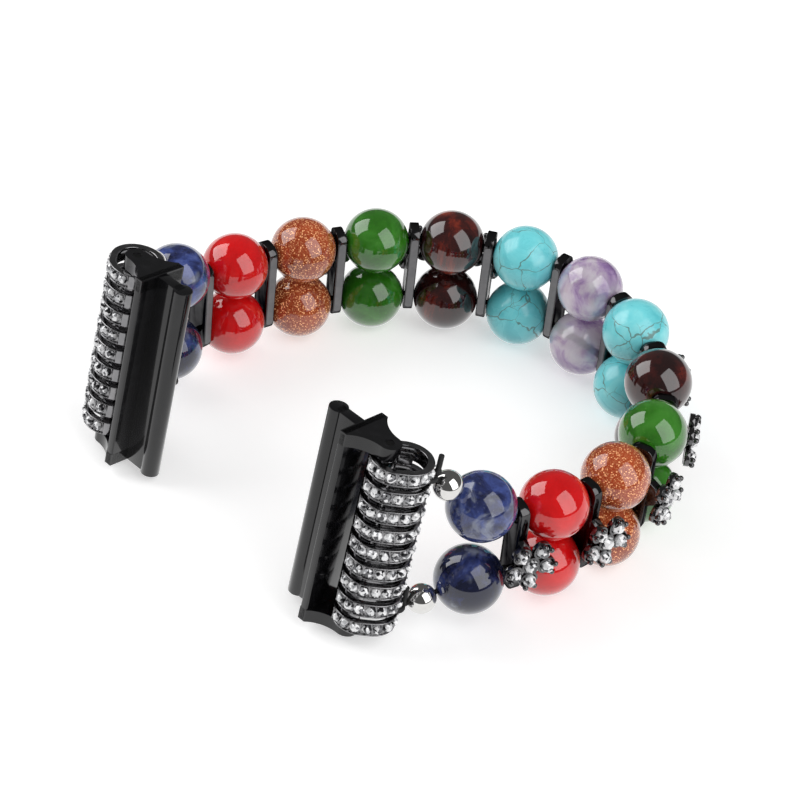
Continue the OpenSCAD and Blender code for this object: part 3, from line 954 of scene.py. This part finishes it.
def end_frame(end):
    """X toward the beads and Z along the pin, from the cord post."""
    place = Matrix.Translation(joints[end + "_cage_swing"]["pos_m"]) @ turn_z(END_HEADING)
    place = place @ Matrix.Rotation(math.radians(-END_LEAN), 4, "X")
    return place @ Matrix.Rotation(0 if end == "front" else math.pi, 4, "Y")


def cage_frame(end):
    """The middle of the rib stack, with the outward side at -Y."""
    return end_frame(end) @ turn_z(CAGE_FOLD) @ Matrix.Translation((-POST_X, 0, 0))


def rib():
    """An oval ring with rolled rims and a groove for its stones on the outward side."""
    ring = drum("rib", 64, CAGE_DEPTH / 2, RIB_H)
    stretch = (CAGE_LEN - CAGE_DEPTH) / 2
    for side in (-1, 1):
        pick(ring, "VERT", lambda place: place.x * side > 1e-6)
        bpy.ops.transform.translate(value=(side * stretch, 0, 0))
    pick(ring, "FACE", lambda centre, normal: abs(normal.z) > 0.9)
    bpy.ops.mesh.inset(thickness=RIB_WALL)
    bpy.ops.mesh.bridge_edge_loops()

    def outside(centre, normal):
        far = centre.to_2d().length > CAGE_DEPTH / 2 * 0.97
        return far and abs(normal.z) < 0.1 and normal.y < -0.05

    pick(ring, "FACE", outside)
    bpy.ops.mesh.inset(thickness=GROOVE_LIP, use_even_offset=True)
    bpy.ops.mesh.inset(thickness=0.02 * MM, depth=-GROOVE_DEPTH)
    return rounded(ring, 0.13 * MM, 2, 50)


def rib_stone_place(arc):
    """The seat at a distance along the outward half of a rib."""
    radius = CAGE_DEPTH / 2 - GROOVE_DEPTH
    flat = CAGE_LEN - CAGE_DEPTH
    side = math.copysign(1, arc)
    turn = math.degrees(max(0, abs(arc) - flat / 2) / radius)
    run = min(abs(arc), flat / 2)
    return (
        Matrix.Translation((side * run, 0, 0)) @ turn_z(side * turn)
        @ Matrix.Translation((0, -radius, 0)) @ Matrix.Rotation(math.pi / 2, 4, "X")
    )


def rib_height(number):
    """The lift from the stack's middle to a rib."""
    return Matrix.Translation((0, 0, (number - (RIBS - 1) / 2) * RIB_PITCH))


def knuckle():
    """The tube round the pin."""
    tall = (RIBS - 1) * RIB_PITCH + RIB_H
    tube = drum("knuckle", 32, KNUCKLE_R, tall, (PIN_X, 0, 0))
    pick(tube, "FACE", lambda centre, normal: abs(normal.z) > 0.9)
    bpy.ops.mesh.inset(thickness=KNUCKLE_R - KNUCKLE_BORE_R)
    bpy.ops.mesh.bridge_edge_loops()
    return rounded(tube, 0.1 * MM)


def block(name, size, place):
    """A small bar with softened edges."""
    return rounded(plate(name, size, place), 0.1 * MM)


def grain():
    """A raised metal grain that holds two neighbouring stones."""
    deselect()
    bpy.ops.mesh.primitive_ico_sphere_add(subdivisions=1, radius=GRAIN_R)
    made = newest("grain")
    pick(made, "VERT", lambda place: place.z < -GRAIN_R * 0.5)
    bpy.ops.transform.translate(value=(0, 0, -GRAIN_R * 0.6))
    bpy.ops.object.mode_set(mode="OBJECT")
    return made


def cage_master():
    """The rib stack with its cord post, knuckle, webs and setting grains."""
    ring, stop = rib(), grain()
    parts = [knuckle()]
    parts.append(block("post", (POST, POST, (RIBS - 1) * RIB_PITCH), (POST_X, 0, 0)))
    web_y = CAGE_DEPTH / 2 - RIB_WALL + CAGE_WEB_T / 2
    for number in range(1, RIBS - 1, 2):
        middle = (number - (RIBS - 1) / 2 + 0.5) * RIB_PITCH
        parts.append(block("web", (CAGE_WEB_W, CAGE_WEB_T, RIB_PITCH), (0, web_y, middle)))
    lip = RIB_H / 2 - 0.28 * MM
    for number in range(RIBS):
        parts.append(copied(ring, "ring", rib_height(number)))
        for gap in range(RIB_STONES + 1):
            arc = (gap - RIB_STONES / 2) * CAGE_STONE_PITCH
            for side in (-1, 1):
                spot = rib_height(number) @ rib_stone_place(arc) @ Matrix.Translation(
                    (0, side * lip, 0.3 * MM)
                )
                parts.append(copied(stop, "grain", spot))
    removed(ring, stop)
    return finished(joined(parts, "cage_master"), 50)


def cage_stones_master():
    """The stones of one cage."""
    stone = cut_stone("stone", CAGE_STONE_R, 0, CAGE_STONE_H)
    parts = []
    for number in range(RIBS):
        for k in range(RIB_STONES):
            arc = (k - (RIB_STONES - 1) / 2) * CAGE_STONE_PITCH
            parts.append(copied(stone, "stone_set", rib_height(number) @ rib_stone_place(arc)))
    removed(stone)
    return joined(parts, "cage_stones_master")


cage, cage_stones = cage_master(), cage_stones_master()
for end in ends:
    place = cage_frame(end)
    node = f"{end}_cage"
    dressed(copied(cage, f"{node}_metal", place), "gunmetal", "gunmetal", node, node)
    dressed(
        copied(cage_stones, f"{node}_set_stones", place), "rhinestone", "rhinestone",
        node, f"{node}_stones",
    )
removed(cage, cage_stones)


# Adaptors, pins and latches

def ear(side):
    """An ear that widens toward the neck along two hollow curves, drilled for the pin."""
    flare_x = PIN_TO_SEAT - NECK_T
    flare_y = NECK_DEPTH / 2 - EAR_R
    flare_r = (flare_x ** 2 + flare_y ** 2) / (2 * flare_y)
    up = (0, 0, 1)
    piece = plate(
        "ear", (PIN_TO_SEAT, NECK_DEPTH, EAR_T), (-PIN_TO_SEAT / 2, 0, side * EAR_Z)
    )
    for y in (-1, 1):
        middle = (0, y * (EAR_R + flare_r), side * EAR_Z)
        cut_by(piece, rod("flare", flare_r, EAR_T * 2, middle, up, 192))
    cut_by(piece, rod("nose", EAR_R, EAR_T, (0, 0, side * EAR_Z), up, 96), "UNION")
    cut_by(piece, rod("drill", PIN_R + 0.02 * MM, EAR_T * 2, (0, 0, side * EAR_Z), up, 32))
    return rounded(piece, 0.2 * MM, 3, 30)


def adaptor_master():
    """Two ears, the wall between them, and the tongue with its round bead."""
    neck = rounded(plate(
        "neck", (NECK_T, NECK_DEPTH, ADAPTOR_HEIGHT), (-PIN_TO_SEAT + NECK_T / 2, 0, 0)
    ), 0.2 * MM, 3)
    tongue = rounded(plate(
        "tongue", (TONGUE_LEN + 0.1 * MM, TONGUE_T, TONGUE_HEIGHT),
        (-PIN_TO_SEAT - TONGUE_LEN / 2 + 0.05 * MM, 0, 0),
    ), 0.15 * MM)
    bead = rod(
        "bead", TONGUE_BULB_R, TONGUE_HEIGHT, (-PIN_TO_SEAT - TONGUE_LEN, 0, 0), (0, 0, 1), 64
    )
    cut_by(bead, rod(
        "drill", LATCH_BORE_R, LATCH_DEPTH * 2, (-PIN_TO_SEAT - TONGUE_LEN, TONGUE_BULB_R, 0),
        (0, 1, 0), 32,
    ))
    parts = [neck, ear(1), ear(-1), tongue, rounded(bead, 0.15 * MM, 2, 50)]
    return finished(joined(parts, "adaptor_master"), 40)


def adaptor_frame(end):
    """The middle of the pin, with X toward the beads."""
    return cage_frame(end) @ Matrix.Translation((PIN_X, 0, 0)) @ turn_z(-CAGE_FOLD)


coated = adaptor_master()
for end in ends:
    node = f"{end}_adaptor"
    dressed(
        copied(coated, f"{node}_coated", adaptor_frame(end)), "black_adaptor", "black_adaptor",
        node, node,
    )
removed(coated)

for end in ends:
    for node in (f"{end}_pin", f"{end}_latch"):
        solid = frame["nodes"][node]
        solid.data.materials.clear()
        solid.data.materials.append(finishes["pin_steel"])


# Elastic cords

def strand(name, start_at, end_at):
    """A short round length of cord, drawn in slightly at its ends."""
    deselect()
    run = Vector(end_at) - Vector(start_at)
    bpy.ops.mesh.primitive_cylinder_add(vertices=16, radius=CORD_R, depth=run.length)
    piece = newest(name)
    piece.data.transform(along((Vector(start_at) + Vector(end_at)) / 2, run))
    return rounded(piece, 0.12 * MM)


def winding(name, middle, axis, radius, thickness):
    """One turn of cord."""
    deselect()
    bpy.ops.mesh.primitive_torus_add(
        major_segments=28, minor_segments=10, major_radius=radius, minor_radius=thickness
    )
    piece = newest(name)
    piece.data.transform(along(middle, axis))
    return piece


def hole(number, side):
    """The middle of a spacer's cord hole; side is 1 for the upper row."""
    return Vector(joints[f"spacer_{number}_bend"]["pos_m"]) + Vector((0, 0, side * ROW_PITCH / 2))


def end_strand(row, end, spacer_hole, loop):
    """The cord from the last spacer through the end bead and the ball to the loop."""
    bead_spin = joints[f"{row}_bead_{COLUMNS if end == 'front' else 1}_spin"]
    ball_spin = joints[f"{row}_ball_{end}_spin"]
    bead, ball = Vector(bead_spin["pos_m"]), Vector(ball_spin["pos_m"])
    axis = Vector(bead_spin["axis"]).normalized()
    axis = axis if axis.dot(ball - bead) > 0 else -axis
    route = [
        spacer_hole, bead - BEAD_R * axis,
        (bead + BEAD_R * axis + ball - BALL_R * axis) / 2, ball + BALL_R * axis,
        loop + LOOP_R * (ball - loop).normalized(),
    ]
    runs = [strand("run", near, far) for near, far in zip(route, route[1:])]
    return finished(joined(runs, f"{row}_cord_{end}_end"), 60)


def wound_knot(row, end, loop, rise, flat):
    """The loop round the cage post with its knot, and the tail that the front knots have."""
    side = rows[row]
    size = KNOT_SIZE[side] * MM
    knot = loop + KNOT_AT[side] * flat + KNOT_RISE[side] * rise
    across = rise.cross(flat)
    parts = [winding("loop", loop, rise, LOOP_R, CORD_R)]
    for axis, shift in (
        (flat + 0.3 * rise, 0.0), (rise + 0.5 * across, 0.16), (across - 0.4 * flat, -0.12)
    ):
        parts.append(winding("turn", knot + shift * size * axis, axis, 0.3 * size, 0.27 * size))
    if end == "front":
        parts.append(strand("tail", knot, knot + (KNOT_R * KNOT_SIZE[side] + TAIL) * rise))
    return finished(joined(parts, f"{row}_knot_{end}"), 60)


for row, side in rows.items():
    for column in range(2, COLUMNS):
        number = column if column < MIDDLE else column - 1
        body = "cords" if column == MIDDLE else f"spacer_{number}"
        run = strand(f"{row}_cord_{column}", hole(column - 1, side), hole(column, side))
        nodes = [f"{row}_cord"] if column == MIDDLE else []
        dressed(finished(run), "black_elastic", "black_elastic", body, *nodes)
    for end, sign in ends.items():
        number = SPACERS if end == "front" else 1
        rise = (end_frame(end).to_3x3() @ Vector((0, 0, 1))) * sign
        loop = Vector(joints[end + "_cage_swing"]["pos_m"]) + side * LOOP_Z * rise
        away = hole(number, side) - loop
        flat = (away - away.dot(rise) * rise).normalized()
        piece = end_strand(row, end, hole(number, side), loop)
        dressed(piece, "black_elastic", "black_elastic", f"spacer_{number}")
        piece = wound_knot(row, end, loop, rise, flat)
        dressed(piece, "black_elastic", "black_elastic", f"{end}_cage")


deselect()
